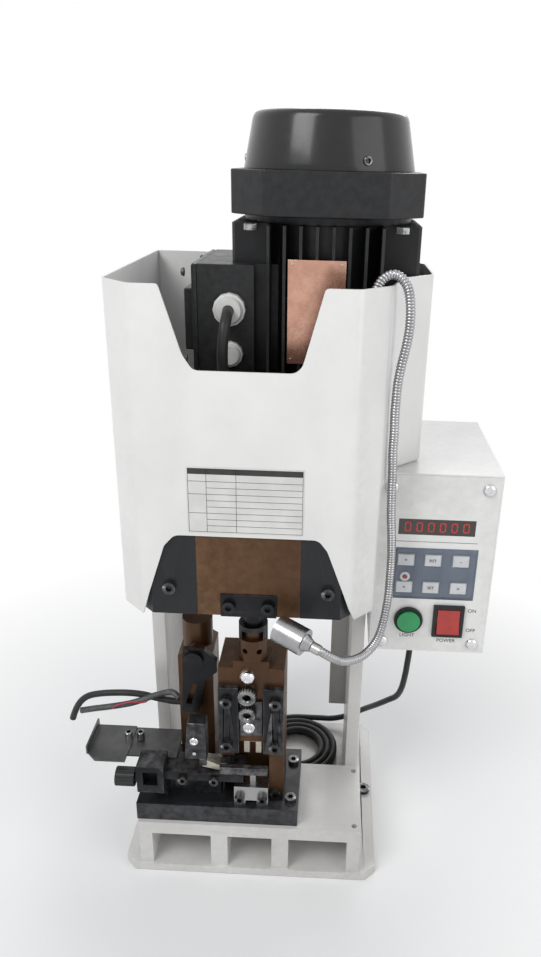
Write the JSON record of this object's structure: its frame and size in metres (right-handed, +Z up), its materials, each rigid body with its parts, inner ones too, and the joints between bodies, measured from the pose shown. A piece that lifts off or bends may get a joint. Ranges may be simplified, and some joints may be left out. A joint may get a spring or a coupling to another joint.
{
  "type": "terminal crimping machine",
  "caption": "Bench press for crimping terminals onto wires, with a geared motor over a sheet hood, a sliding ram, an exchangeable tool with its terminal feed, a control box and a lamp.",
  "frame": {"origin": "middle of the underside of the base plate, on the surface that the press stands on", "axes": "+X to the operator's right, +Y away from the operator, +Z up along the ram's travel"},
  "size_m": [0.3729, 0.2484, 0.641],
  "materials": {
    "white_paint": "satin",
    "pale_paint": "satin",
    "cast_black": "satin",
    "black_paint": "satin",
    "oxide_steel": "satin",
    "black_steel": "satin",
    "plate_steel": "satin",
    "chrome": "polished",
    "gloss_black": "gloss",
    "white_plastic": "matte",
    "black_plastic": "matte",
    "black_rubber": "matte",
    "lens_glass": "gloss",
    "bronze": "satin",
    "brass": "satin",
    "key_plastic": "matte",
    "green_plastic": "gloss",
    "red_plastic": "gloss"
  },
  "bodies": {
    "root": {"base_plate": "plate_steel", "bench": "pale_paint", "left_column": "pale_paint", "right_column": "pale_paint", "head_block": "pale_paint", "left_gib": "black_paint", "right_gib": "black_paint", "gearbox_housing": "pale_paint", "bearings": "plate_steel", "hood": "white_paint", "motor_housing": "cast_black", "stator": "oxide_steel", "motor_band": "cast_black", "fan_cover": "gloss_black", "terminal_box": "cast_black", "terminal_cover": "cast_black", "cable_glands": "white_plastic", "motor_cable": "black_rubber", "lamp_mount": "plate_steel", "gooseneck": "chrome", "lamp_head": "chrome", "lamp_lens": "lens_glass", "control_box": "white_paint", "front_panel": "white_paint", "switch_bezels": "black_plastic", "control_board": "black_plastic", "power_cord": "black_rubber", "cord_coil": "black_rubber", "power_plug": "black_rubber", "frame_screws": "black_steel", "tool_seat": "black_paint", "tool_frame": "oxide_steel", "guide_plates": "oxide_steel", "anvil_block": "plate_steel", "feed_bed": "black_steel", "feed_plate": "plate_steel", "feed_tower": "oxide_steel", "window_block": "black_steel", "air_pipe": "black_rubber", "tool_screws": "black_steel"},
    "press_ram": {"ram": "oxide_steel", "ram_connector": "black_steel"},
    "slider": {"slider_block": "plate_steel"},
    "crank": {"crankshaft": "plate_steel", "worm_wheel": "bronze"},
    "motor_rotor": {"rotor": "plate_steel", "cooling_fan": "black_plastic"},
    "tool_ram": {"tool_slide": "oxide_steel", "punches": "plate_steel"},
    "lever": {"feed_lever": "black_steel"},
    "finger": {"feed_finger": "brass"},
    "knob": {"feed_knob": "black_plastic"},
    "button": {"lamp_button": "green_plastic"},
    "rocker": {"power_rocker": "red_plastic"},
    "key_1_cap": {"key_1": "key_plastic"},
    "key_2_cap": {"key_2": "key_plastic"},
    "key_3_cap": {"key_3": "key_plastic"},
    "key_4_cap": {"key_4": "key_plastic"},
    "key_5_cap": {"key_5": "key_plastic"},
    "key_6_cap": {"key_6": "key_plastic"}
  },
  "joints": [
    {"name": "ram_slide", "type": "slide", "parent": "root", "child": "press_ram", "axis": [0, 0, 1], "range_m": [-0.03, 0]},
    {"name": "slider_slide", "type": "slide", "parent": "press_ram", "child": "slider", "axis": [1, 0, 0], "range_m": [-0.015, 0.015]},
    {"name": "rotor_turn", "type": "hinge", "parent": "root", "child": "motor_rotor", "pos_m": [0.052, 0.0066, 0.335], "axis": [0, 0, 1], "continuous": true},
    {"name": "crank_turn", "type": "hinge", "parent": "root", "child": "crank", "pos_m": [0.002, 0.0066, 0.335], "axis": [0, 1, 0], "continuous": true},
    {"name": "tool_slide_run", "type": "slide", "parent": "root", "child": "tool_ram", "axis": [0, 0, 1], "range_m": [-0.0301, 0.0001]},
    {"name": "lever_swing", "type": "hinge", "parent": "root", "child": "lever", "pos_m": [-0.052, -0.056, 0.20405], "axis": [0, 1, 0], "range_deg": [-10.5, 0.5]},
    {"name": "finger_slide", "type": "slide", "parent": "root", "child": "finger", "axis": [1, 0, 0], "range_m": [-0.0005, 0.0065]},
    {"name": "knob_turn", "type": "hinge", "parent": "root", "child": "knob", "pos_m": [-0.115, -0.0856, 0.094], "axis": [1, 0, 0], "continuous": true},
    {"name": "button_press", "type": "slide", "parent": "root", "child": "button", "axis": [0, 1, 0], "range_m": [0, 0.0025], "stiffness_N_per_m": 200},
    {"name": "rocker_tilt", "type": "hinge", "parent": "root", "child": "rocker", "pos_m": [0.165, -0.053, 0.2497], "axis": [1, 0, 0], "range_deg": [0, 16]},
    {"name": "key_1_press", "type": "slide", "parent": "root", "child": "key_1_cap", "axis": [0, 1, 0], "range_m": [0, 0.0008], "stiffness_N_per_m": 300},
    {"name": "key_2_press", "type": "slide", "parent": "root", "child": "key_2_cap", "axis": [0, 1, 0], "range_m": [0, 0.0008], "stiffness_N_per_m": 300},
    {"name": "key_3_press", "type": "slide", "parent": "root", "child": "key_3_cap", "axis": [0, 1, 0], "range_m": [0, 0.0008], "stiffness_N_per_m": 300},
    {"name": "key_4_press", "type": "slide", "parent": "root", "child": "key_4_cap", "axis": [0, 1, 0], "range_m": [0, 0.0008], "stiffness_N_per_m": 300},
    {"name": "key_5_press", "type": "slide", "parent": "root", "child": "key_5_cap", "axis": [0, 1, 0], "range_m": [0, 0.0008], "stiffness_N_per_m": 300},
    {"name": "key_6_press", "type": "slide", "parent": "root", "child": "key_6_cap", "axis": [0, 1, 0], "range_m": [0, 0.0008], "stiffness_N_per_m": 300}
  ],
  "couplings": [
    {"joint": "crank_turn", "follows": "rotor_turn", "ratio": 0.03125},
    {"joint": "tool_slide_run", "follows": "ram_slide", "ratio": 1},
    {"joint": "lever_swing", "follows": "ram_slide", "rad_per_m": 5.8},
    {"joint": "finger_slide", "follows": "ram_slide", "ratio": -0.2}
  ]
}
